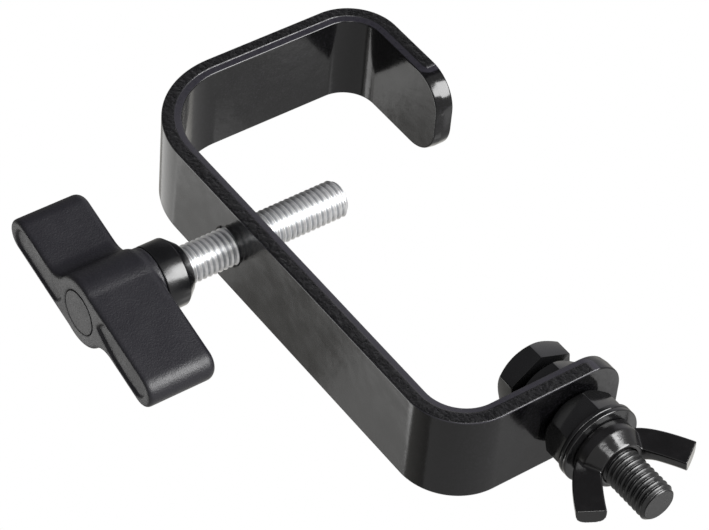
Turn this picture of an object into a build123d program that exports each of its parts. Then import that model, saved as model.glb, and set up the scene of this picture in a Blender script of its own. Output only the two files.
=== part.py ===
from build123d import *
import math
import os

os.makedirs("parts", exist_ok=True)

# Pipe clamp: a bent flat bar hooks over a horizontal tube, a T-handled screw
# clamps the tube from the side, and a bolt through the foot hangs the lamp.
#
# Millimetres. The origin is the centre of the clamped tube. +X points from the
# web towards the lip, +Z points up to the top of the hook, and the tube lies
# along Y.

# --- Tube and bar -----------------------------------------------------------
PIPE_RADIUS = 25.0  # nominal 50 mm tube, tight against top and lip
BAR_WIDTH = 25.0
BAR_THICKNESS = 5.0
THROAT = 63.0  # clear distance from web to lip
TOP_BEND = 20.0  # inside radii of the three bends
LIP_BEND = 8.7
FOOT_BEND = 10.4
LIP_END_Z = -9.5
FOOT_LENGTH = 45.3  # from the web's inner face to the foot's free end
END_CORNER = 9.5  # rounded corners of both bar ends
BAR_EDGE = 0.8  # softened long edges

WEB_X = PIPE_RADIUS - THROAT  # web's inner face
SCREW_Z = -17.4  # clamp screw's axis
FOOT_Z = SCREW_Z - 82.25  # foot's inner (upper) face
FOOT_END_X = WEB_X + FOOT_LENGTH
BOLT_X = WEB_X + 31.7  # bolt's axis

# --- Clamp screw, M10 x 1.5 -------------------------------------------------
THREAD_RADIUS = 4.9
RUNNING_GAP = 0.05  # radial clearance of turning threads
SCREW_TIP_X = WEB_X + 27.4
SCREW_BACK_X = WEB_X - 41.0
SCREW_CHAMFER = 0.8

# --- Steel insert of the knob -----------------------------------------------
COLLAR_RADIUS = 8.7
COLLAR_NOSE_RADIUS = 6.3
COLLAR_FRONT_X = WEB_X - 18.4
COLLAR_BACK_X = WEB_X - 27.0
COLLAR_TAPER = 2.8  # length of the cone towards the nose
SHANK_RADIUS = 6.6
SHANK_BACK_X = WEB_X - 43.0
SHANK_GROOVE = 0.8

# --- Knob -------------------------------------------------------------------
KNOB_BACK_X = WEB_X - 47.0
KNOB_FRONT_X = WEB_X - 28.0
WING_TILT = 15.3  # degrees about the screw, tip leaning to -Y above the axis
WING_REACH = 30.5
HUB_RADIUS = 9.4
WING_WIDTH = 9.2
WING_MIDDLE = 4.6  # the wings pass the axis on opposite sides
TIP_CORNER = 4.5
ROOT_FILLET = 6.0
BACK_EDGE = 0.9
FRONT_EDGE = 2.5
POCKET_DEPTH = 0.7
CAP_RADIUS = 5.7
CAP_THICKNESS = 2.0
CAP_GAP = 0.08
CAP_CHAMFER = 0.3

# --- Fasteners at the foot --------------------------------------------------
HEX_FLATS = 17.0
HEX_FACE_RADIUS = 8.2  # where the corner chamfers meet the end faces
HEX_CORNER_DROP = 0.9
HEX_HEAD_HEIGHT = 5.6
NUT_TURN = 30.0  # degrees about the bolt: two flats face along X
HEAD_TURN = 22.5  # the head stands a little askew to the nuts
BOLT_LENGTH = 43.5
BOLT_TIP_CHAMFER = 0.6
JAM_NUT_HEIGHT = 5.0
HEAD_TO_JAM_NUT = 1.7
LOCK_NUT_HEIGHT = 8.4
LOCK_NUT_FACE_RADIUS = 7.4  # its upper corners are turned off further than the others
LOCK_NUT_UPPER_DROP = 2.2
LOCK_NUT_LOWER_DROP = 0.3
WASHER_RADIUS = 10.5
WASHER_HOLE_RADIUS = 5.25
WASHER_THICKNESS = 1.25
WASHER_EDGE = 0.3
FOOT_HOLE_RADIUS = 5.5

FOOT_UNDERSIDE_Z = FOOT_Z - BAR_THICKNESS
LOCK_NUT_LOW_Z = FOOT_UNDERSIDE_Z - LOCK_NUT_HEIGHT
UPPER_WASHER_LOW_Z = LOCK_NUT_LOW_Z - WASHER_THICKNESS
LOWER_WASHER_LOW_Z = UPPER_WASHER_LOW_Z - WASHER_THICKNESS
JAM_NUT_TOP_Z = FOOT_Z + JAM_NUT_HEIGHT
HEAD_UNDERSIDE_Z = JAM_NUT_TOP_Z + HEAD_TO_JAM_NUT
BOLT_END_Z = HEAD_UNDERSIDE_Z - BOLT_LENGTH

# --- Wing nut ---------------------------------------------------------------
WING_NUT_BASE = 8.1
WING_NUT_SHOULDER = 3.3  # straight part of the base
WING_NUT_BODY = 7.2  # whole height of the body round the thread
WING_NUT_TOP = 6.2
WING_NUT_ROOT = 5.9  # wings start here, inside the body
WING_NUT_TILT = -5.5  # degrees about the bolt
WING_NUT_THICKNESS = 4.2
WING_NUT_TIP = 0.5


def axial_plane(x):
    """Plane across the screw axis at x: its local axes are Y and Z."""
    return Plane(origin=(x, 0, SCREW_Z), x_dir=(0, 1, 0), z_dir=(1, 0, 0))


def wing_plane(x):
    """Plane across the screw axis at x: its local X runs along the knob's wings."""
    tilt = math.radians(WING_TILT)
    return Plane(
        origin=(x, 0, SCREW_Z), x_dir=(0, -math.sin(tilt), math.cos(tilt)), z_dir=(1, 0, 0)
    )


def bolt_plane(z):
    """Horizontal plane across the bolt axis at height z."""
    return Plane(origin=(BOLT_X, 0, z), x_dir=(1, 0, 0), z_dir=(0, 0, 1))


def bolt_section(z):
    """Upright plane through the bolt's axis, its local Y up from height z."""
    return Plane(origin=(BOLT_X, 0, z), x_dir=(1, 0, 0), z_dir=(0, -1, 0))


def save(part, name):
    """Label a finished piece and write its STEP file."""
    part.label = name
    export_step(part, f"parts/{name}.step")


BOLT_AXIS = Axis(origin=(BOLT_X, 0, 0), direction=(0, 0, 1))
wing_nut_turn = math.radians(WING_NUT_TILT)
# upright plane along the wing nut's wings, its local Y up from the lower washer
wing_nut_plane = Plane(
    origin=(BOLT_X, 0, LOWER_WASHER_LOW_Z),
    x_dir=(math.cos(wing_nut_turn), math.sin(wing_nut_turn), 0),
    z_dir=(math.sin(wing_nut_turn), -math.cos(wing_nut_turn), 0),
)

# --- Hook bar: one flat bar with three bends --------------------------------
with BuildPart() as hook_bar:
    with BuildSketch(Plane.XZ):
        with BuildLine():
            FilletPolyline(
                (PIPE_RADIUS, LIP_END_Z),
                (PIPE_RADIUS, PIPE_RADIUS),
                (WEB_X, PIPE_RADIUS),
                (WEB_X, FOOT_Z),
                (FOOT_END_X, FOOT_Z),
                radius=[LIP_BEND, TOP_BEND, FOOT_BEND],
            )
            offset(amount=BAR_THICKNESS, side=Side.RIGHT)
        make_face()
    extrude(amount=BAR_WIDTH / 2, both=True)
    # round the corners of the two free ends
    end_edges = hook_bar.edges().filter_by(Axis.X).filter_by_position(
        Axis.Z, LIP_END_Z - 0.1, LIP_END_Z + 0.1
    )
    end_edges += hook_bar.edges().filter_by(Axis.Z).filter_by_position(
        Axis.X, FOOT_END_X - 0.1, FOOT_END_X + 0.1
    )
    fillet(end_edges, END_CORNER)
    # soften the whole outline on both sides
    fillet(hook_bar.faces().filter_by(Axis.Y).edges(), BAR_EDGE)
    # tapped hole for the clamp screw, plain hole for the bolt
    with Locations(Location(axial_plane(WEB_X))):
        Hole(THREAD_RADIUS + RUNNING_GAP, depth=2 * BAR_THICKNESS)
    with Locations(Location(bolt_plane(FOOT_Z))):
        Hole(FOOT_HOLE_RADIUS, depth=2 * BAR_THICKNESS)
save(hook_bar.part, "hook_bar")

# --- Clamp screw: plain cylinder at the thread's outside size ---------------
with BuildPart() as clamp_screw:
    with BuildSketch(axial_plane(SCREW_BACK_X)):
        Circle(THREAD_RADIUS)
    extrude(amount=SCREW_TIP_X - SCREW_BACK_X)
    chamfer(clamp_screw.faces().filter_by(Axis.X).edges(), SCREW_CHAMFER)
save(clamp_screw.part, "clamp_screw")

# --- Knob insert: steel bush, glossy collar outside, grooved shank inside ---
with BuildPart() as knob_insert:
    with BuildSketch(axial_plane(COLLAR_BACK_X)):
        Circle(COLLAR_RADIUS)
    extrude(amount=COLLAR_FRONT_X - COLLAR_TAPER - COLLAR_BACK_X)
    # cone from the full collar to its nose
    with BuildSketch(axial_plane(COLLAR_FRONT_X - COLLAR_TAPER)):
        Circle(COLLAR_RADIUS)
    with BuildSketch(axial_plane(COLLAR_FRONT_X)):
        Circle(COLLAR_NOSE_RADIUS)
    loft()
    fillet(knob_insert.faces().sort_by(Axis.X)[-1].edges(), 0.4)
    with BuildSketch(axial_plane(SHANK_BACK_X)):
        Circle(SHANK_RADIUS)
    extrude(amount=COLLAR_BACK_X - SHANK_BACK_X)
    groove_middle = (SHANK_BACK_X + COLLAR_BACK_X) / 2
    with BuildSketch(axial_plane(groove_middle)):
        Circle(SHANK_RADIUS)
        Circle(SHANK_RADIUS - SHANK_GROOVE, mode=Mode.SUBTRACT)
    extrude(amount=2 * SHANK_GROOVE, both=True, mode=Mode.SUBTRACT)
    with BuildSketch(axial_plane(SHANK_BACK_X)):
        Circle(THREAD_RADIUS)
    extrude(amount=COLLAR_FRONT_X - SHANK_BACK_X, mode=Mode.SUBTRACT)
save(knob_insert.part, "knob_insert")


# --- Knob: two wings that pass the hub on opposite sides --------------------
with BuildPart() as knob:
    with BuildSketch(wing_plane(KNOB_BACK_X)) as knob_profile:
        for side in (1, -1):
            with Locations((side * WING_REACH / 2, -side * WING_MIDDLE)):
                Rectangle(WING_REACH, WING_WIDTH)
        Circle(HUB_RADIUS)
        corners = knob_profile.vertices().group_by(Axis.X)
        fillet(corners[0] + corners[-1], TIP_CORNER)
        # hollow corners where each wing's inner side leaves the hub
        roots = knob_profile.vertices().filter_by_position(Axis.X, 8, 10)
        roots += knob_profile.vertices().filter_by_position(Axis.X, -10, -8)
        fillet(roots, ROOT_FILLET)
    extrude(amount=KNOB_FRONT_X - KNOB_BACK_X)
    knob_ends = knob.faces().filter_by(Axis.X).sort_by(Axis.X)
    fillet(knob_ends[0].edges(), BACK_EDGE)
    fillet(knob.faces().filter_by(Axis.X).sort_by(Axis.X)[-1].edges(), FRONT_EDGE)
    # neck in front of the wings, up to the collar
    with BuildSketch(axial_plane(KNOB_FRONT_X - FRONT_EDGE)):
        Circle(COLLAR_RADIUS)
    extrude(amount=COLLAR_BACK_X - KNOB_FRONT_X + FRONT_EDGE)
    # shallow rounded pocket in the back of each wing, the same after half a turn
    for side in (1, -1):
        root_outer = (side * 9.0, -side * 8.0)
        root_inner = (side * 7.0, -side * 3.9)
        tip_inner = (side * 24.2, -side * 1.4)
        tip_outer = (side * 24.2, -side * 8.0)
        with BuildSketch(wing_plane(KNOB_BACK_X)):
            with BuildLine():
                ThreePointArc(root_outer, (side * 7.7, -side * 6.1), root_inner)
                ThreePointArc(root_inner, (side * 14.5, -side * 1.8), tip_inner)
                ThreePointArc(tip_inner, (side * 27.8, -side * 4.7), tip_outer)
                Line(tip_outer, root_outer)
            make_face()
        extrude(amount=POCKET_DEPTH, mode=Mode.SUBTRACT)
    # seat of the insert, and the recess that its cap closes
    with BuildSketch(axial_plane(SHANK_BACK_X)):
        Circle(SHANK_RADIUS)
    extrude(amount=COLLAR_BACK_X - SHANK_BACK_X, mode=Mode.SUBTRACT)
    with BuildSketch(axial_plane(KNOB_BACK_X)):
        Circle(CAP_RADIUS + CAP_GAP)
    extrude(amount=CAP_THICKNESS, mode=Mode.SUBTRACT)
save(knob.part, "knob")

# --- Knob cap: round disc that closes the back of the knob ------------------
with BuildPart() as knob_cap:
    with BuildSketch(axial_plane(KNOB_BACK_X)):
        Circle(CAP_RADIUS)
    extrude(amount=CAP_THICKNESS)
    chamfer(knob_cap.faces().sort_by(Axis.X)[0].edges(), CAP_CHAMFER)
save(knob_cap.part, "knob_cap")


def hexagon(z, turn):
    """Hexagon across the bolt's axis at height z, turned about it by so many degrees."""
    with BuildSketch(bolt_plane(z)) as outline:
        RegularPolygon(HEX_FLATS / 2, 6, major_radius=False, rotation=turn)
    return outline.sketch


def turned_corners(z, height, low_drop, high_drop, high_face=HEX_FACE_RADIUS):
    """Half section that turns the corners off a hexagonal block at its two ends."""
    corner = HEX_FLATS / math.sqrt(3)
    with BuildSketch(bolt_section(z)) as half:
        with BuildLine():
            Polyline(
                (0, 0),
                (HEX_FACE_RADIUS if low_drop else corner - 0.01, 0),
                (corner, low_drop),
                (corner, height - high_drop),
                (high_face, height),
                (0, height),
                close=True,
            )
        make_face()
    return half.sketch


# --- Hex bolt: the set screw that carries the lamp --------------------------
with BuildPart() as hex_bolt:
    extrude(hexagon(HEAD_UNDERSIDE_Z, HEAD_TURN), amount=HEX_HEAD_HEIGHT)
    head_corners = turned_corners(HEAD_UNDERSIDE_Z, HEX_HEAD_HEIGHT, 0.01, HEX_CORNER_DROP)
    revolve(head_corners, axis=BOLT_AXIS, mode=Mode.INTERSECT)
    with BuildSketch(bolt_plane(BOLT_END_Z)):
        Circle(THREAD_RADIUS)
    extrude(amount=BOLT_LENGTH)
    chamfer(hex_bolt.faces().sort_by(Axis.Z)[0].edges(), BOLT_TIP_CHAMFER)
save(hex_bolt.part, "hex_bolt")

# --- Two nuts grip the foot: a thin one above it and a full one below -------
with BuildPart() as jam_nut:
    extrude(hexagon(FOOT_Z, NUT_TURN), amount=JAM_NUT_HEIGHT)
    jam_corners = turned_corners(FOOT_Z, JAM_NUT_HEIGHT, HEX_CORNER_DROP, HEX_CORNER_DROP)
    revolve(jam_corners, axis=BOLT_AXIS, mode=Mode.INTERSECT)
    with Locations(Location(bolt_plane(JAM_NUT_TOP_Z))):
        Hole(THREAD_RADIUS)
save(jam_nut.part, "jam_nut")

with BuildPart() as lock_nut:
    extrude(hexagon(LOCK_NUT_LOW_Z, NUT_TURN), amount=LOCK_NUT_HEIGHT)
    nut_corners = turned_corners(
        LOCK_NUT_LOW_Z,
        LOCK_NUT_HEIGHT,
        LOCK_NUT_LOWER_DROP,
        LOCK_NUT_UPPER_DROP,
        LOCK_NUT_FACE_RADIUS,
    )
    revolve(nut_corners, axis=BOLT_AXIS, mode=Mode.INTERSECT)
    with Locations(Location(bolt_plane(FOOT_UNDERSIDE_Z))):
        Hole(THREAD_RADIUS)
save(lock_nut.part, "lock_nut")

# --- Two plain washers: the lamp's bracket goes between them ----------------
for washer_name, washer_low_z in (
    ("upper_washer", UPPER_WASHER_LOW_Z),
    ("lower_washer", LOWER_WASHER_LOW_Z),
):
    with BuildPart() as washer:
        with BuildSketch(bolt_plane(washer_low_z)):
            Circle(WASHER_RADIUS)
            Circle(WASHER_HOLE_RADIUS, mode=Mode.SUBTRACT)
        extrude(amount=WASHER_THICKNESS)
        rim = washer.edges().filter_by(GeomType.CIRCLE).sort_by(SortBy.RADIUS)[-2:]
        fillet(rim, WASHER_EDGE)
    save(washer.part, washer_name)

# --- Wing nut: round body with two flared wings -----------------------------
with BuildPart() as wing_nut:
    for side in (1, -1):
        with BuildSketch(wing_nut_plane) as wing_outline:
            with BuildLine():
                outer = ThreePointArc(
                    (side * WING_NUT_BASE, -1.2), (side * 12.4, -5.0), (side * 17.4, -12.8)
                )
                inner = ThreePointArc(
                    (side * 11.4, -16.6), (side * 9.1, -12.5), (side * WING_NUT_ROOT, -7.5)
                )
                Line(outer @ 1, inner @ 0)
                Polyline(inner @ 1, (side * WING_NUT_ROOT, -1.2), outer @ 0)
            make_face()
            tips = wing_outline.vertices().sort_by(Axis.Y)[:2]
            fillet(tips, WING_NUT_TIP)
        extrude(amount=WING_NUT_THICKNESS / 2, both=True)
    with BuildSketch(bolt_section(LOWER_WASHER_LOW_Z - WING_NUT_BODY)):
        with BuildLine():
            Polyline(
                (0, 0),
                (WING_NUT_TOP, 0),
                (WING_NUT_BASE, WING_NUT_BODY - WING_NUT_SHOULDER),
                (WING_NUT_BASE, WING_NUT_BODY),
                (0, WING_NUT_BODY),
                close=True,
            )
        make_face()
    revolve(axis=BOLT_AXIS)
    with Locations(Location(bolt_plane(LOWER_WASHER_LOW_Z))):
        Hole(THREAD_RADIUS + RUNNING_GAP)
save(wing_nut.part, "wing_nut")
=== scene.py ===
import math

import bmesh
import bpy
from mathutils import Matrix, Vector


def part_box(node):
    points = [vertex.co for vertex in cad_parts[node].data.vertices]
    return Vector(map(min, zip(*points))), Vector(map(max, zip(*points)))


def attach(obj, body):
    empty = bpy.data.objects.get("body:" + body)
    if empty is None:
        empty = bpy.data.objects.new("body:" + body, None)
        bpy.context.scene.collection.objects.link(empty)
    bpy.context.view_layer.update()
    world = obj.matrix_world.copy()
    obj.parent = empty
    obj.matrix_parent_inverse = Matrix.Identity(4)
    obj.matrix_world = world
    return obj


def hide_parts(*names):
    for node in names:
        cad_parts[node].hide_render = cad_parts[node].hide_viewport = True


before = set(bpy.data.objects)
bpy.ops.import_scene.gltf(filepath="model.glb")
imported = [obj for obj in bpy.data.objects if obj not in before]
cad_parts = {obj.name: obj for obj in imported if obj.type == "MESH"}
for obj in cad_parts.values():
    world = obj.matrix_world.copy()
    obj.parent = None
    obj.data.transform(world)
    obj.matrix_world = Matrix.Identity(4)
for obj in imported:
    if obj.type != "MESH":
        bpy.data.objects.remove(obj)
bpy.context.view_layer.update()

MM = 0.001
scene = bpy.context.scene
scene.view_settings.view_transform = "Standard"
scene.view_settings.look = "None"
scene.view_settings.exposure = 0.0
scene.view_settings.gamma = 1.0

# ---------------------------------------------------------------- places, mm
def box_mm(node_name):
    """The lowest and the highest corner of a CAD node."""
    low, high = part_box(node_name)
    return low / MM, high / MM


bar_low, bar_high = box_mm("hook_bar")
screw_low, screw_high = box_mm("clamp_screw")
insert_low, insert_high = box_mm("knob_insert")
cap_back_x = box_mm("knob_cap")[0].x
bolt_low, bolt_high = box_mm("hex_bolt")
jam_low, jam_high = box_mm("jam_nut")
lock_low, lock_high = box_mm("lock_nut")
upper_low, upper_high = box_mm("upper_washer")
lower_low, lower_high = box_mm("lower_washer")
wing_nut_top_z = box_mm("wing_nut")[1].z

# the hook bar
BAR_THICKNESS = 5.0
HALF_WIDTH = bar_high.y
SCREW_Z = (screw_low.z + screw_high.z) / 2
BOLT_X = (upper_low.x + upper_high.x) / 2
TOP_BEND, LIP_BEND, FOOT_BEND = 20.0, 8.7, 10.4
LIP_END_Z = -9.5
FOOT_BEYOND_BOLT = 13.6
END_CORNER = 9.5
BAR_EDGE = 0.35  # small rounding of the long edges
SHEAR_DEPTH = 2.0  # the inner part of each cut side leans in a little
SHEAR_INSET = 0.3
WEB_HOLE, WEB_COUNTERSINK = 5.0, 0.45
FOOT_HOLE, FOOT_COUNTERSINK = 5.5, 0.3

# threads and hexagons
PITCH = 1.5
THREAD_CREST = 4.9
THREAD_ROOT = 4.08
SCREW_CHAMFER = 0.8
BOLT_CHAMFER = 0.75
THREADED_HOLE = 4.95  # radius that nuts and collar leave open round a thread
HEX_FLATS = 17.0
HEX_CORNER = 0.4  # rounding of the six upright edges
HEX_EDGE = 0.12  # rounding of the edges round both ends
HEAD_HEIGHT = 5.6
HEAD_TURN = 22.5  # degrees about the bolt
NUT_TURN = 30.0
# a turned hexagon end: radius of its flat face, drop of its corners
TURNED = (8.2, 1.08)
LOCK_NUT_LOW_END = (8.2, 0.3)
LOCK_NUT_HIGH_END = (7.4, 2.2)
WASHER_HOLE = 5.25
WASHER_HOLE_EDGE, WASHER_RIM_EDGE = 0.15, 0.3

# knob, collar and cap
WING_TILT = 15.3  # degrees about the screw
KNOB_VOXEL = 0.32
COLLAR_RADIUS = (insert_high.y - insert_low.y) / 2
COLLAR_LENGTH = 8.6
COLLAR_TAPER = 2.8
COLLAR_NOSE = 6.3
SHANK_RADIUS = 6.6
CAP_RADIUS = 5.7
CAP_THICKNESS = 2.0

# wing nut
WING_NUT_TILT = -5.5  # degrees about the bolt
WING_NUT_VOXEL = 0.2
WING_NUT_HOLE = 4.98
WING_NUT_BASE = 8.1  # radius of its straight part, which is as high as the shoulder
WING_NUT_SHOULDER = 3.3
WING_NUT_END = 6.2  # radius of its lower end
WING_NUT_BODY = 7.2  # height round the thread
# edges of a wing: distance from the bolt and depth below the washer, at root, middle and tip
WING_OUTER = ((8.1, 1.2), (12.4, 5.0), (17.4, 12.8))
WING_INNER = ((5.9, 7.5), (9.1, 12.5), (11.4, 16.6))
WING_THICKNESS = 4.2
WING_ROOT_SWELL = 1.6  # added thickness at the root, gone at ROOT_SHARE of the wing's length
ROOT_SHARE = 0.35
WING_FRONT_Y = -2.1
WING_CORNER = 0.35  # the front face's corners start this far behind it
CROWN_POWER = 0.62  # 1 would make the back a half ellipse, less makes it fuller

screw_place = Matrix.Translation((0, 0, SCREW_Z)) @ Matrix.Rotation(math.radians(90), 4, "Y")
bolt_place = Matrix.Translation((BOLT_X, 0, 0))


# ------------------------------------------------------------- mesh building
def make_object(name, verts, faces, material, body, slot, place=Matrix.Identity(4), crease=40):
    """Mesh object from points in mm, moved to its place, with its edges sharp over an angle."""
    mesh = bpy.data.meshes.new(name)
    mesh.from_pydata([tuple(v) for v in verts], [], faces)
    bm = bmesh.new()
    bm.from_mesh(mesh)
    bmesh.ops.remove_doubles(bm, verts=bm.verts, dist=1e-4)
    bmesh.ops.dissolve_degenerate(bm, edges=bm.edges, dist=1e-4)
    bmesh.ops.recalc_face_normals(bm, faces=bm.faces)
    bm.to_mesh(mesh)
    bm.free()
    mesh.transform(Matrix.Scale(MM, 4) @ place)
    mesh.shade_smooth()
    mesh.set_sharp_from_angle(angle=math.radians(crease))
    obj = bpy.data.objects.new(name, mesh)
    scene.collection.objects.link(obj)
    obj.data.materials.append(material)
    if body:
        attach(obj, body)
    return obj


def applied(obj):
    """Apply the object's modifiers to its mesh."""
    depsgraph = bpy.context.evaluated_depsgraph_get()
    mesh = bpy.data.meshes.new_from_object(obj.evaluated_get(depsgraph))
    old = obj.data
    obj.modifiers.clear()
    obj.data = mesh
    bpy.data.meshes.remove(old)


def evened(obj, voxel, smooth_steps):
    """Give the object an even mesh with softened edges."""
    even = obj.modifiers.new("even", "REMESH")
    even.mode = "VOXEL"
    even.voxel_size = voxel * MM
    soft = obj.modifiers.new("soft", "SMOOTH")
    soft.factor = 0.5
    soft.iterations = smooth_steps
    applied(obj)


def rounded_corners(points, radii, steps=4):
    """Polygon with each corner replaced by an arc of the given radius (0 keeps it)."""
    out = []
    n = len(points)
    for i in range(n):
        p, radius = Vector(points[i]), radii[i]
        if radius <= 0:
            out.append(p)
            continue
        to_a = (Vector(points[i - 1]) - p).normalized()
        to_b = (Vector(points[(i + 1) % n]) - p).normalized()
        half = to_a.angle(to_b) / 2
        reach = radius / math.tan(half)
        centre = p + (to_a + to_b).normalized() * (radius / math.sin(half))
        start, end = p + to_a * reach - centre, p + to_b * reach - centre
        sweep = start.angle_signed(end)
        for k in range(steps + 1):
            turn = Matrix.Rotation(-sweep * k / steps, 2)
            out.append(centre + turn @ start)
    return out


def lathe(profile, segments=128):
    """Turn a closed profile of (radius, height) round Z."""
    verts, faces = [], []
    n = len(profile)
    for j in range(segments):
        a = 2 * math.pi * j / segments
        for r, z in profile:
            verts.append((r * math.cos(a), r * math.sin(a), z))
    for j in range(segments):
        k = (j + 1) % segments
        for i in range(n):
            m = (i + 1) % n
            faces.append((j * n + i, k * n + i, k * n + m, j * n + m))
    return verts, faces


def thread(length, chamfer, segments=56):
    """Right-hand M10 thread round Z from 0 to length, with chamfered ends."""
    # one crest and groove: (share of the pitch, share of the thread's height)
    shape = (
        (0.00, 0.96), (0.045, 1.0), (0.10, 1.0), (0.145, 0.95), (0.25, 0.66), (0.36, 0.31),
        (0.44, 0.08), (0.50, 0.0), (0.58, 0.0), (0.65, 0.08), (0.74, 0.31), (0.87, 0.66),
    )
    rows = []
    turns = int(length / PITCH) + 3
    for turn in range(-1, turns):
        for along, height in shape:
            rows.append((PITCH * (turn + along), height))
    verts, faces = [], []
    end_radius = THREAD_CREST - chamfer
    for z0, height in rows:
        for j in range(segments):
            z = z0 - PITCH + PITCH * j / segments
            z = min(max(z, 0.0), length)
            r = THREAD_ROOT + (THREAD_CREST - THREAD_ROOT) * height
            r = min(r, end_radius + z, end_radius + length - z)
            a = 2 * math.pi * j / segments
            verts.append((r * math.cos(a), r * math.sin(a), z))
    for i in range(len(rows) - 1):
        for j in range(segments):
            if j + 1 < segments:
                here, above = i * segments + j, (i + 1) * segments + j
                faces.append((here, here + 1, above + 1, above))
            elif i + 1 + len(shape) < len(rows):
                # after one turn the row goes on one pitch further up
                here, above = i * segments + j, (i + 1) * segments + j
                onward = (i + len(shape)) * segments
                faces.append((here, onward, onward + segments, above))
    verts.append((0, 0, 0))
    verts.append((0, 0, length))
    last = len(rows) - 1
    for j in range(segments):
        k = (j + 1) % segments
        faces.append((j, len(verts) - 2, k))
        faces.append((last * segments + j, last * segments + k, len(verts) - 1))
    return verts, faces


def hexagon_outline(flats, corner_radius, turn):
    """Points of a hexagon turned by so many degrees, its corners slightly rounded."""
    corner = flats / math.sqrt(3)
    corners = [
        (
            corner * math.cos(math.radians(60 * k + turn)),
            corner * math.sin(math.radians(60 * k + turn)),
        )
        for k in range(6)
    ]
    arcs = rounded_corners(corners, [corner_radius] * 6, steps=4)
    out = []
    for i, p in enumerate(arcs):
        q = arcs[(i + 1) % len(arcs)]
        steps = 8 if (q - p).length > 2 else 1
        out += [p.lerp(q, k / steps) for k in range(steps)]
    return out


def hex_block(height, hole, low, high, turn):
    """Hexagon block from z 0 to height with a round hole through it. Its ends low and high
    are None for a flat one, or (radius of the flat face, drop of the corners)."""
    outline = hexagon_outline(HEX_FLATS, HEX_CORNER, turn)
    n = len(outline)
    rings = []

    def ring(radius, z):
        rings.append([(radius * p.normalized().x, radius * p.normalized().y, z) for p in outline])

    def edge_ring(z_base, sign, chamfer, inset, sink):
        row = []
        for p in outline:
            fall = 0.0
            if chamfer:
                face, drop = chamfer
                fall = max(0.0, p.length - face) * drop / (HEX_FLATS / math.sqrt(3) - face)
            q = p * (1 - inset / p.length)
            row.append((q.x, q.y, z_base + sign * (fall + sink)))
        rings.append(row)

    partway = HEX_EDGE * 0.3
    ring(hole, 0)
    if low:
        ring(low[0] - HEX_EDGE, 0)
        ring(low[0] + HEX_EDGE * 0.4, partway)
    edge_ring(0, 1, low, HEX_EDGE, 0)
    edge_ring(0, 1, low, partway, partway)
    edge_ring(0, 1, low, 0, HEX_EDGE)
    edge_ring(height, -1, high, 0, HEX_EDGE)
    edge_ring(height, -1, high, partway, partway)
    edge_ring(height, -1, high, HEX_EDGE, 0)
    if high:
        ring(high[0] + HEX_EDGE * 0.4, height - partway)
        ring(high[0] - HEX_EDGE, height)
    ring(hole, height)
    verts = [v for row in rings for v in row]
    faces = []
    for i in range(len(rings)):
        m = (i + 1) % len(rings)
        if hole == 0 and m == 0:
            break
        for j in range(n):
            k = (j + 1) % n
            faces.append((i * n + j, i * n + k, m * n + k, m * n + j))
    return verts, faces


# ----------------------------------------------------------------- materials
def new_material(name):
    mat = bpy.data.materials.new(name)
    mat.use_nodes = True
    tree = mat.node_tree
    shader = tree.nodes["Principled BSDF"]
    return mat, tree, shader


def node(tree, kind, **settings):
    n = tree.nodes.new(kind)
    for key, value in settings.items():
        setattr(n, key, value)
    return n


def feed(tree, value, socket):
    """Link another node's output to a socket, or set the socket to a constant."""
    if isinstance(value, bpy.types.NodeSocket):
        tree.links.new(value, socket)
    else:
        socket.default_value = value


def noise(tree, coords, scale, detail=3.0, roughness=0.5, distortion=0.0):
    n = node(tree, "ShaderNodeTexNoise")
    n.inputs["Scale"].default_value = scale
    n.inputs["Detail"].default_value = detail
    n.inputs["Roughness"].default_value = roughness
    n.inputs["Distortion"].default_value = distortion
    tree.links.new(coords, n.inputs["Vector"])
    return n.outputs["Fac"]


def ramp(tree, value, low, high, out_low, out_high):
    n = node(tree, "ShaderNodeMapRange")
    n.interpolation_type = "SMOOTHSTEP"
    n.inputs["From Min"].default_value = low
    n.inputs["From Max"].default_value = high
    n.inputs["To Min"].default_value = out_low
    n.inputs["To Max"].default_value = out_high
    tree.links.new(value, n.inputs["Value"])
    return n.outputs["Result"]


# The Mix node has sockets for each kind of data: numbers of its two inputs and its output.
MIX_SOCKETS = {"FLOAT": (2, 3, 0), "RGBA": (6, 7, 2)}


def mixed(tree, kind, share, low, high):
    """Mix of two values (FLOAT) or two colours (RGBA), constant or linked."""
    n = node(tree, "ShaderNodeMix", data_type=kind)
    first, second, out = MIX_SOCKETS[kind]
    tree.links.new(share, n.inputs[0])
    feed(tree, low, n.inputs[first])
    feed(tree, high, n.inputs[second])
    return n.outputs[out]


def colours(tree, share, low, high):
    return mixed(tree, "RGBA", share, (*low, 1), (*high, 1))


def math_node(tree, operation, a, b):
    n = node(tree, "ShaderNodeMath", operation=operation)
    feed(tree, a, n.inputs[0])
    feed(tree, b, n.inputs[1])
    return n.outputs[0]


def bump(tree, height, strength, distance, under=None):
    n = node(tree, "ShaderNodeBump")
    n.inputs["Strength"].default_value = strength
    n.inputs["Distance"].default_value = distance
    tree.links.new(height, n.inputs["Height"])
    if under is not None:
        tree.links.new(under, n.inputs["Normal"])
    return n.outputs["Normal"]


def object_coords(tree):
    return node(tree, "ShaderNodeTexCoord").outputs["Object"]


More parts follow.
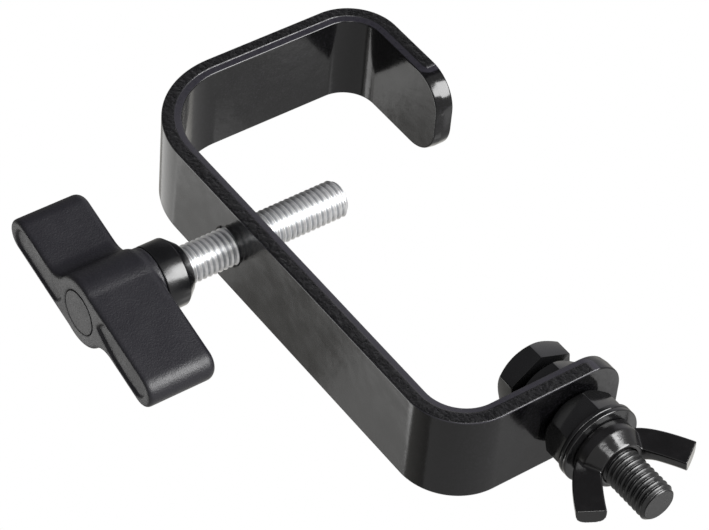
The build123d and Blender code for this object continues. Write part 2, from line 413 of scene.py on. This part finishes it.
def black_coat():
    """Glossy black powder coat of the bar, rougher on its cut sides, whose sheared slope has a
    painted sheen.
    """
    mat, tree, shader = new_material("black_coat")
    coords = object_coords(tree)
    split = node(tree, "ShaderNodeSeparateXYZ")
    tree.links.new(coords, split.inputs[0])
    side = math_node(tree, "ABSOLUTE", split.outputs["Y"], 0.0)
    # the torn part of a cut side lies full out, its sheared part up to SHEAR_INSET further in
    edge = ramp(tree, side, 12.42 * MM, 12.48 * MM, 0.0, 1.0)
    slope = ramp(tree, side, 12.05 * MM, 12.2 * MM, 0.0, 1.0)
    speckle = noise(tree, coords, 1900, 2.0, 0.6)
    cloud = noise(tree, coords, 160, 4.0, 0.6)
    fine = noise(tree, coords, 900, 3.0, 0.55)
    dust = ramp(tree, speckle, 0.5, 0.72, 0.0, 1.0)
    tint = colours(tree, dust, (0.0018, 0.0018, 0.002), (0.007, 0.0065, 0.008))
    # painted sheen: the sheared slope of each cut side is painted paler, standing in for the light
    # its sloped face catches
    painted_sheen_band = math_node(tree, "SUBTRACT", slope, edge)
    tone_with_painted_light = mixed(tree, "RGBA", painted_sheen_band, tint, (0.016, 0.015, 0.02, 1))
    tree.links.new(tone_with_painted_light, shader.inputs["Base Color"])
    smooth_rough = ramp(tree, cloud, 0.3, 0.7, 0.11, 0.16)
    edge_rough = ramp(tree, fine, 0.3, 0.7, 0.24, 0.42)
    roughness = mixed(tree, "FLOAT", slope, smooth_rough, edge_rough)
    tree.links.new(roughness, shader.inputs["Roughness"])
    peel = noise(tree, coords, 330, 2.0, 0.5)
    first = bump(tree, peel, 0.4, 0.00007)
    torn = noise(tree, coords, 420, 4.0, 0.65, 0.6)
    rough_height = math_node(tree, "MULTIPLY", math_node(tree, "ADD", fine, torn), edge)
    second = bump(tree, rough_height, 1.0, 0.00028, first)
    tree.links.new(second, shader.inputs["Normal"])
    shader.inputs["IOR"].default_value = 1.5
    return mat


def zinc():
    """Bright zinc plate, with painted shade darkening its colour down in the grooves of the thread.
    """
    mat, tree, shader = new_material("zinc_plate")
    coords = object_coords(tree)
    cloud = noise(tree, coords, 420, 4.0, 0.6)
    across = node(tree, "ShaderNodeVectorMath", operation="MULTIPLY_ADD")
    tree.links.new(coords, across.inputs[0])
    across.inputs[1].default_value = (0, 1, 1)
    across.inputs[2].default_value = (0, 0, -SCREW_Z * MM)
    radius = node(tree, "ShaderNodeVectorMath", operation="LENGTH")
    tree.links.new(across.outputs[0], radius.inputs[0])
    # painted shade: the colour darkens from the crests down into the grooves of the thread; the
    # cloud adds tone that varies at random
    painted_groove_shade = ramp(tree, radius.outputs["Value"], 4.2 * MM, 4.6 * MM, 0.0, 0.75)
    tone_with_painted_light = math_node(tree, "ADD", painted_groove_shade, ramp(tree, cloud, 0.3, 0.7, 0.0, 0.25))
    tint = colours(tree, tone_with_painted_light, (0.36, 0.37, 0.39), (0.95, 0.95, 0.95))
    tree.links.new(tint, shader.inputs["Base Color"])
    tree.links.new(ramp(tree, cloud, 0.3, 0.7, 0.38, 0.3), shader.inputs["Roughness"])
    fine = noise(tree, coords, 2600, 2.0, 0.5)
    tree.links.new(bump(tree, fine, 0.2, 0.00003), shader.inputs["Normal"])
    shader.inputs["Metallic"].default_value = 0.85
    return mat


def plastic(name, base, grain=0.9):
    """Moulded plastic with a fine grain over a coarser one."""
    mat, tree, shader = new_material(name)
    coords = object_coords(tree)
    cloud = noise(tree, coords, 90, 3.0, 0.6)
    low = tuple(c * 0.88 for c in base)
    high = tuple(c * 1.12 for c in base)
    tree.links.new(colours(tree, cloud, low, high), shader.inputs["Base Color"])
    tree.links.new(ramp(tree, cloud, 0.3, 0.7, 0.42, 0.5), shader.inputs["Roughness"])
    fine = noise(tree, coords, 2300, 2.0, 0.6)
    coarse = noise(tree, coords, 800, 2.0, 0.5)
    first = bump(tree, coarse, grain * 0.45, 0.00008)
    tree.links.new(bump(tree, fine, grain, 0.00008, first), shader.inputs["Normal"])
    shader.inputs["IOR"].default_value = 1.5
    return mat


def black_steel(name, base, rough_low, rough_high, peel=0.25):
    """Semi-gloss black coating of steel pieces."""
    mat, tree, shader = new_material(name)
    coords = object_coords(tree)
    cloud = noise(tree, coords, 260, 4.0, 0.6)
    low = tuple(c * 0.7 for c in base)
    high = tuple(c * 1.4 for c in base)
    tree.links.new(colours(tree, cloud, low, high), shader.inputs["Base Color"])
    tree.links.new(ramp(tree, cloud, 0.3, 0.7, rough_low, rough_high), shader.inputs["Roughness"])
    fine = noise(tree, coords, 1100, 3.0, 0.55)
    tree.links.new(bump(tree, fine, peel, 0.00006), shader.inputs["Normal"])
    shader.inputs["IOR"].default_value = 1.55
    return mat


coat = black_coat()
zinc_plate = zinc()
knob_plastic = plastic("knob_plastic", (0.006, 0.0056, 0.0085))
cap_plastic = plastic("cap_plastic", (0.0065, 0.0061, 0.009))
collar_black = black_steel("collar_black", (0.003, 0.003, 0.0035), 0.18, 0.26, 0.12)
fastener_black = black_steel("fastener_black", (0.0035, 0.0035, 0.0037), 0.12, 0.22)
thread_black = black_steel("thread_black", (0.0035, 0.0035, 0.0037), 0.26, 0.38)
wing_black = black_steel("wing_nut_black", (0.004, 0.0038, 0.004), 0.12, 0.24, 0.35)


# ------------------------------------------------------------------ hook bar
def bar_path():
    """The inner face as straight and curved stretches from the lip's end to the foot's end."""
    corners = [
        Vector((bar_high.x - BAR_THICKNESS, LIP_END_Z)),
        Vector((bar_high.x - BAR_THICKNESS, bar_high.z - BAR_THICKNESS)),
        Vector((bar_low.x + BAR_THICKNESS, bar_high.z - BAR_THICKNESS)),
        Vector((bar_low.x + BAR_THICKNESS, bar_low.z + BAR_THICKNESS)),
        Vector((BOLT_X + FOOT_BEYOND_BOLT, bar_low.z + BAR_THICKNESS)),
    ]
    radii = [0, LIP_BEND, TOP_BEND, FOOT_BEND, 0]
    stretches = []
    start = corners[0]
    for i in range(1, len(corners)):
        ahead = (corners[i] - corners[i - 1]).normalized()
        outward = Vector((ahead.y, -ahead.x))
        stop = corners[i] - ahead * radii[i]
        stretches.append(("line", start, ahead, outward, (stop - start).length))
        if radii[i]:
            centre = stop - outward * radii[i]
            stretches.append(("bend", centre, ahead, outward, radii[i]))
            start = corners[i] + Vector((-ahead.y, ahead.x)) * radii[i]
    return stretches


STRETCHES = bar_path()
LENGTHS = [
    s[4] if s[0] == "line" else math.pi / 2 * (s[4] + BAR_THICKNESS / 2) for s in STRETCHES
]
BAR_LENGTH = sum(LENGTHS)


def on_bar(s, y, depth):
    """Point at distance s along the bar, across it at y, at a depth from its inner face."""
    for i, (kind, at, ahead, outward, size) in enumerate(STRETCHES):
        if s <= LENGTHS[i] or i == len(STRETCHES) - 1:
            break
        s -= LENGTHS[i]
    if kind == "line":
        p = at + ahead * s + outward * depth
    else:
        angle = s / LENGTHS[i] * math.pi / 2
        p = at + (outward * math.cos(angle) + ahead * math.sin(angle)) * (size + depth)
    return (p.x, y, p.y)


def bar_stations():
    """Distances along the bar where the mesh has a rung: close in the bends."""
    out = []
    total = 0.0
    for (kind, *_), length in zip(STRETCHES, LENGTHS):
        count = max(2, int(length / 3)) if kind == "line" else 40
        out += [total + length * k / count for k in range(count)]
        total += length
    return [s for s in out if END_CORNER + 0.5 < s < BAR_LENGTH - END_CORNER - 0.5]


def bar_outline(inset):
    """One long side of the bar's outline, moved inwards: (distance along, half width)."""
    radius = END_CORNER - inset
    middle = HALF_WIDTH - END_CORNER
    arc = [math.radians(90 * k / 14) for k in range(15)]
    side = [(END_CORNER - radius * math.cos(a), middle + radius * math.sin(a)) for a in arc]
    side += [(s, HALF_WIDTH - inset) for s in bar_stations()]
    side += [
        (BAR_LENGTH - END_CORNER + radius * math.sin(a), middle + radius * math.cos(a)) for a in arc
    ]
    return side


def build_bar():
    """The bent bar without its holes, built as rings from the inner face to the outer one."""

    def rounding(radius, steps):
        """Quarter round from the flat face to the side: (inset, depth)."""
        turns = [math.radians(90 * k / steps) for k in range(steps, -1, -1)]
        return [(radius * (1 - math.cos(t)), radius * (1 - math.sin(t))) for t in turns]

    edge = rounding(BAR_EDGE, 4)
    layers = [(SHEAR_INSET + BAR_EDGE + 0.2, 0.0)]
    layers += [(SHEAR_INSET + inset, depth) for inset, depth in edge]
    layers += [(SHEAR_INSET * 0.9, BAR_EDGE + 0.12), (0.04, SHEAR_DEPTH - 0.1)]
    layers += [(0.0, SHEAR_DEPTH + 0.15), (0.0, BAR_THICKNESS - BAR_EDGE - 0.15)]
    layers += [(inset, BAR_THICKNESS - depth) for inset, depth in reversed(edge)]
    layers += [(BAR_EDGE + 0.2, BAR_THICKNESS)]
    rings = []
    verts = []
    for inset, depth in layers:
        side = bar_outline(inset)
        ring = [on_bar(s, y, depth) for s, y in side]
        ring += [on_bar(s, -y, depth) for s, y in reversed(side)]
        rings.append(range(len(verts), len(verts) + len(ring)))
        verts += ring
    count = len(rings[0])
    faces = []
    for a, b in zip(rings, rings[1:]):
        for j in range(count):
            k = (j + 1) % count
            faces.append((a[j], b[j], b[k], a[k]))
    for ring, flip in ((rings[0], False), (rings[-1], True)):
        for j in range(count // 2 - 1):
            quad = (ring[j], ring[j + 1], ring[count - 2 - j], ring[count - 1 - j])
            faces.append(quad[::-1] if flip else quad)
    return verts, faces


def cutter(name, radius, chamfer, low, high, place):
    """Tool shape of a drilled hole with a small countersink at both sides."""
    beyond = 3
    wide = radius + chamfer + beyond
    profile = [
        (0, low - beyond), (wide, low - beyond), (radius, low + chamfer),
        (radius, high - chamfer), (wide, high + beyond), (0, high + beyond),
    ]
    return make_object(name, *lathe(profile, 96), coat, None, None, place)


bar = make_object("hook_bar_coated", *build_bar(), coat, None, None, crease=50)
web_hole = cutter(
    "web_hole", WEB_HOLE, WEB_COUNTERSINK, bar_low.x, bar_low.x + BAR_THICKNESS, screw_place
)
foot_hole = cutter(
    "foot_hole", FOOT_HOLE, FOOT_COUNTERSINK, bar_low.z, bar_low.z + BAR_THICKNESS, bolt_place
)
for tool in (web_hole, foot_hole):
    cut = bar.modifiers.new("hole", "BOOLEAN")
    cut.operation = "DIFFERENCE"
    cut.solver = "EXACT"
    cut.object = tool
applied(bar)
for tool in (web_hole, foot_hole):
    bpy.data.objects.remove(tool)
bar.data.shade_smooth()
bar.data.set_sharp_from_angle(angle=math.radians(30))
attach(bar, "hook")
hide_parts("hook_bar")

# --------------------------------------------------------------- clamp screw
verts, faces = thread(screw_high.x - screw_low.x, SCREW_CHAMFER)
rod = make_object(
    "clamp_screw_thread", verts, faces, zinc_plate, "screw", "clamp_screw",
    screw_place @ Matrix.Translation((0, 0, screw_low.x)),
)
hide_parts("clamp_screw")

# --------------------------------------------------------------- knob insert
collar_back_x = insert_high.x - COLLAR_LENGTH
profile = rounded_corners(
    [
        (THREADED_HOLE, insert_low.x), (SHANK_RADIUS, insert_low.x), (SHANK_RADIUS, collar_back_x),
        (COLLAR_RADIUS, collar_back_x), (COLLAR_RADIUS, insert_high.x - COLLAR_TAPER),
        (COLLAR_NOSE, insert_high.x), (THREADED_HOLE, insert_high.x),
    ],
    [0, 0.3, 0, 0.3, 0.6, 0.4, 0.2],
)
collar = make_object(
    "knob_collar", *lathe(profile), collar_black, "screw", "knob_insert", screw_place
)
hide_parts("knob_insert")


# ---------------------------------------------------------------------- knob
def remeshed(name, source, unturn, voxel, smooth_steps, material, body):
    """Moulded version of a CAD solid, remeshed while it is turned square to the axes."""
    mesh = source.data.copy()
    mesh.transform(unturn)
    obj = bpy.data.objects.new(name, mesh)
    scene.collection.objects.link(obj)
    weld = obj.modifiers.new("weld", "WELD")
    weld.merge_threshold = 1e-6
    evened(obj, voxel, smooth_steps)
    obj.data.transform(unturn.inverted())
    obj.data.shade_smooth()
    obj.data.materials.clear()
    obj.data.materials.append(material)
    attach(obj, body)
    return obj


axis_point = Vector((0, 0, SCREW_Z * MM))
unturn = (
    Matrix.Translation(axis_point)
    @ Matrix.Rotation(math.radians(-WING_TILT), 4, "X")
    @ Matrix.Translation(-axis_point)
)
moulding = remeshed(
    "knob_moulding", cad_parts["knob"], unturn, KNOB_VOXEL, 6, knob_plastic, "screw"
)
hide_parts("knob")

profile = rounded_corners(
    [(0, 0), (CAP_RADIUS, 0), (CAP_RADIUS, CAP_THICKNESS), (0, CAP_THICKNESS)],
    [0, 0.15, 0.1, 0],
    steps=5,
)
cap = make_object(
    "knob_cap_disc", *lathe(profile), cap_plastic, "screw_feed", "knob_cap",
    screw_place @ Matrix.Translation((0, 0, cap_back_x)),
)
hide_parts("knob_cap")

# ----------------------------------------------------------- bolt, nuts, washers
head_underside_z = bolt_high.z - HEAD_HEIGHT
verts, faces = thread(head_underside_z - bolt_low.z, BOLT_CHAMFER)
make_object(
    "hex_bolt_thread", verts, faces, thread_black, "hook", "hex_bolt",
    bolt_place @ Matrix.Translation((0, 0, bolt_low.z)),
)
verts, faces = hex_block(HEAD_HEIGHT, 0, None, TURNED, HEAD_TURN)
head = make_object(
    "hex_bolt_head", verts, faces, fastener_black, "hook", "hex_bolt",
    bolt_place @ Matrix.Translation((0, 0, head_underside_z)),
)
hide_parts("hex_bolt")
for name, low, high, low_end, high_end in (
    ("jam_nut", jam_low, jam_high, TURNED, TURNED),
    ("lock_nut", lock_low, lock_high, LOCK_NUT_LOW_END, LOCK_NUT_HIGH_END),
):
    verts, faces = hex_block(high.z - low.z, THREADED_HOLE, low_end, high_end, NUT_TURN)
    nut = make_object(
        name + "_body", verts, faces, fastener_black, "hook", name,
        bolt_place @ Matrix.Translation((0, 0, low.z)),
    )
    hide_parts(name)
for name, low, high, body in (
    ("upper_washer", upper_low, upper_high, "hook"),
    ("lower_washer", lower_low, lower_high, "nut_feed"),
):
    profile = rounded_corners(
        [(WASHER_HOLE, low.z), (high.y, low.z), (high.y, high.z), (WASHER_HOLE, high.z)],
        [WASHER_HOLE_EDGE, WASHER_RIM_EDGE, WASHER_RIM_EDGE, WASHER_HOLE_EDGE],
    )
    washer = make_object(
        name + "_disc", *lathe(profile), fastener_black, body, name, bolt_place
    )
    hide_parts(name)

# ------------------------------------------------------------------ wing nut
def through(a, b, c, t):
    """Point at t on the smooth curve through three points at 0, a half and 1."""
    wa, wb, wc = 2 * (t - 0.5) * (t - 1), -4 * t * (t - 1), 2 * t * (t - 0.5)
    return Vector((wa * a[0] + wb * b[0] + wc * c[0], wa * a[1] + wb * b[1] + wc * c[1]))


def wing_section(t):
    """Cross-section of a wing: flat front at -Y, crowned back: (share across, y)."""
    thick = WING_THICKNESS + WING_ROOT_SWELL * max(0.0, 1 - t / ROOT_SHARE) ** 2
    side_y = WING_FRONT_Y + WING_CORNER
    out = [(0.0, side_y), (0.02, WING_FRONT_Y + 0.1), (0.05, WING_FRONT_Y)]
    out += [(k / 8, WING_FRONT_Y) for k in range(1, 8)]
    out += [(0.95, WING_FRONT_Y), (0.98, WING_FRONT_Y + 0.1), (1.0, side_y)]
    for k in range(1, 16):
        a = math.pi * k / 16
        across = 0.5 + 0.5 * math.copysign(abs(math.cos(a)) ** CROWN_POWER, math.cos(a))
        out.append((across, side_y + (thick - WING_CORNER) * math.sin(a) ** CROWN_POWER))
    return out


def wing(side):
    """One flared wing: distance from the bolt, and depth below the lower washer."""
    rows = []
    steps = 26
    for i in range(-4, steps + 1):
        t = max(i, 0) / steps
        outer = through(*WING_OUTER, t)
        inner = through(*WING_INNER, t)
        if i < 0:
            # the root goes on into the body
            outer += Vector((0.45 * i, -0.05 * i))
            inner += Vector((0.12 * i, 0.2 * i))
        rows.append([(*outer.lerp(inner, share), y) for share, y in wing_section(t)])
    verts = [(side * a, y, -h) for row in rows for a, h, y in row]
    n = len(rows[0])
    faces = []
    for i in range(len(rows) - 1):
        for j in range(n):
            k = (j + 1) % n
            faces.append((i * n + j, i * n + k, (i + 1) * n + k, (i + 1) * n + j))
    faces.append(tuple(range(n)))
    faces.append(tuple(range(len(verts) - n, len(verts))))
    return verts, faces


profile = rounded_corners(
    [
        (WING_NUT_HOLE, 0), (WING_NUT_BASE, 0), (WING_NUT_BASE, -WING_NUT_SHOULDER),
        (WING_NUT_END, -WING_NUT_BODY), (WING_NUT_HOLE, -WING_NUT_BODY),
    ],
    [0.1, 0.3, 0.3, 0.5, 0.2],
)
verts, faces = lathe(profile)
for side in (1, -1):
    more_verts, more_faces = wing(side)
    faces += [tuple(i + len(verts) for i in face) for face in more_faces]
    verts += more_verts
wing_nut_place = (
    bolt_place
    @ Matrix.Translation((0, 0, wing_nut_top_z))
    @ Matrix.Rotation(math.radians(WING_NUT_TILT), 4, "Z")
)
wings = make_object("wing_nut_cast", verts, faces, wing_black, None, None)
evened(wings, WING_NUT_VOXEL, 3)
wings.data.transform(Matrix.Scale(MM, 4) @ wing_nut_place @ Matrix.Scale(1 / MM, 4))
wings.data.shade_smooth()
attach(wings, "nut")
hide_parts("wing_nut")

# ------------------------------------------------------- floor, light, camera
floor_mat, tree, shader = new_material("pale_floor")
coords = object_coords(tree)
tree.links.new(
    colours(tree, noise(tree, coords, 3, 2.0), (0.80, 0.80, 0.80), (0.84, 0.84, 0.84)),
    shader.inputs["Base Color"],
)
shader.inputs["Roughness"].default_value = 0.9
shader.inputs["Emission Color"].default_value = (1, 1, 1, 1)
shader.inputs["Emission Strength"].default_value = 0.22
FLOOR_Z = -1.0
FLOOR_REACH = 15
floor_corners = [
    (FLOOR_REACH * x, FLOOR_REACH * y, FLOOR_Z) for x, y in ((-1, -1), (1, -1), (1, 1), (-1, 1))
]
floor_mesh = bpy.data.meshes.new("floor")
floor_mesh.from_pydata(floor_corners, [], [(0, 1, 2, 3)])
floor = bpy.data.objects.new("floor", floor_mesh)
floor.data.materials.append(floor_mat)
scene.collection.objects.link(floor)

world = bpy.data.worlds.new("studio")
scene.world = world
world.use_nodes = True
tree = world.node_tree
background = tree.nodes["Background"]
# camera rays see plain white, all other rays the dim surroundings
path = node(tree, "ShaderNodeLightPath")
white = node(tree, "ShaderNodeBackground")
white.inputs["Color"].default_value = (1, 1, 1, 1)
white.inputs["Strength"].default_value = 1.0
mix = node(tree, "ShaderNodeMixShader")
tree.links.new(path.outputs["Is Camera Ray"], mix.inputs[0])
tree.links.new(background.outputs[0], mix.inputs[1])
tree.links.new(white.outputs[0], mix.inputs[2])
tree.links.new(mix.outputs[0], tree.nodes["World Output"].inputs["Surface"])

ray = node(tree, "ShaderNodeTexCoord").outputs["Generated"]
side_of_ray = node(tree, "ShaderNodeSeparateXYZ")
tree.links.new(ray, side_of_ray.inputs[0])
hue = ramp(tree, side_of_ray.outputs["Y"], -0.3, 0.4, 0.0, 1.0)
tree.links.new(
    colours(tree, hue, (0.96, 0.95, 1.0), (1.0, 0.98, 0.93)), background.inputs["Color"]
)


def glow(towards, strength, inner, outer):
    """Soft round light in the surroundings, full within one angle and gone at the other."""
    dot = node(tree, "ShaderNodeVectorMath", operation="DOT_PRODUCT")
    tree.links.new(ray, dot.inputs[0])
    dot.inputs[1].default_value = Vector(towards).normalized()
    low, high = math.cos(math.radians(outer)), math.cos(math.radians(inner))
    return ramp(tree, dot.outputs["Value"], low, high, 0.0, strength)


total = glow((-0.10, 0.75, 0.65), 0.26, 20, 70)
for light in (
    glow((0.45, 0.85, 0.17), 0.75, 10, 35),
    glow((0.88, -0.15, 0.48), 0.55, 18, 40),
    glow((-0.57, -0.60, 0.55), 0.12, 20, 50),
    glow((0.70, 0.70, 0.10), 0.2, 8, 22),
):
    total = math_node(tree, "ADD", total, light)
EVERYWHERE = 0.1
total = math_node(tree, "ADD", total, EVERYWHERE)
tree.links.new(total, background.inputs["Strength"])


CLAMP_MIDDLE = (-0.02, 0.0, -0.03)


def softbox(name, towards, distance, width, height, radiance, aim=CLAMP_MIDDLE):
    """Rectangular light at a distance from the point it aims at, facing it."""
    data = bpy.data.lights.new(name, "AREA")
    data.shape = "RECTANGLE"
    data.size, data.size_y = width, height
    data.energy = radiance * math.pi * width * height
    lamp = bpy.data.objects.new(name, data)
    scene.collection.objects.link(lamp)
    towards = Vector(towards).normalized()
    face = towards.to_track_quat("Z", "Y").to_matrix().to_4x4()
    lamp.matrix_world = Matrix.Translation(Vector(aim) + towards * distance) @ face
    lamp.visible_camera = False


softbox("key", (0.45, -0.58, -0.68), 0.6, 0.42, 0.42, 14.0)
BEHIND_WEB = (-0.448, 0.706, 0.56)  # the web and the knob's back mirror this side
UNDER_FOOT = (0.45, 0.706, -0.56)  # and the faces that look down mirror this one
for name, width, height, radiance, aim in (
    ("side", 0.16, 0.2, 2.1, (-0.158, 0.0, -0.02)),
    ("web_bend", 0.3, 0.175, 0.75, (0.039, 0.056, 0.147)),
    ("web_high", 0.09, 0.05, 0.5, (-0.05, 0.0, 0.015)),
    ("web_low", 0.09, 0.08, 0.42, (-0.05, 0.0, -0.12)),
):
    softbox(name, BEHIND_WEB, 0.34, width, height, radiance, aim)
for name, width, height, radiance, aim in (
    ("low", 0.16, 0.18, 0.6, (0.115, 0.0, -0.16)),
    ("under_top", 0.08, 0.08, 0.5, (-0.065, 0.0, 0.03)),
    ("bolt_face", 0.04, 0.04, 1.6, (-0.0063, 0.0, -0.14)),
):
    softbox(name, UNDER_FOOT, 0.36, width, height, radiance, aim)
softbox("rim", (-0.35, -0.66, -0.66), 0.6, 0.2, 0.2, 7.0)

camera_data = bpy.data.cameras.new("camera")
camera = bpy.data.objects.new("camera", camera_data)
scene.collection.objects.link(camera)
scene.camera = camera
CAMERA_AT = Vector((-0.36486, -0.54299, -0.46005))
CAMERA_AIM = Vector((-0.02065, 0.0, -0.03846))
CAMERA_ROLL = 43.734
camera_data.sensor_width = 36.0
camera_data.lens = 163.28
camera_data.clip_start = 0.01
camera_data.clip_end = 20
ahead = (CAMERA_AIM - CAMERA_AT).normalized()
level = (Vector((0, 0, 1)) - ahead * ahead.z).normalized()
right = ahead.cross(level)
roll = math.radians(CAMERA_ROLL)
up = level * math.cos(roll) + right * math.sin(roll)
right = ahead.cross(up)
view = Matrix((right, up, -ahead)).transposed().to_4x4()
camera.matrix_world = Matrix.Translation(CAMERA_AT) @ view
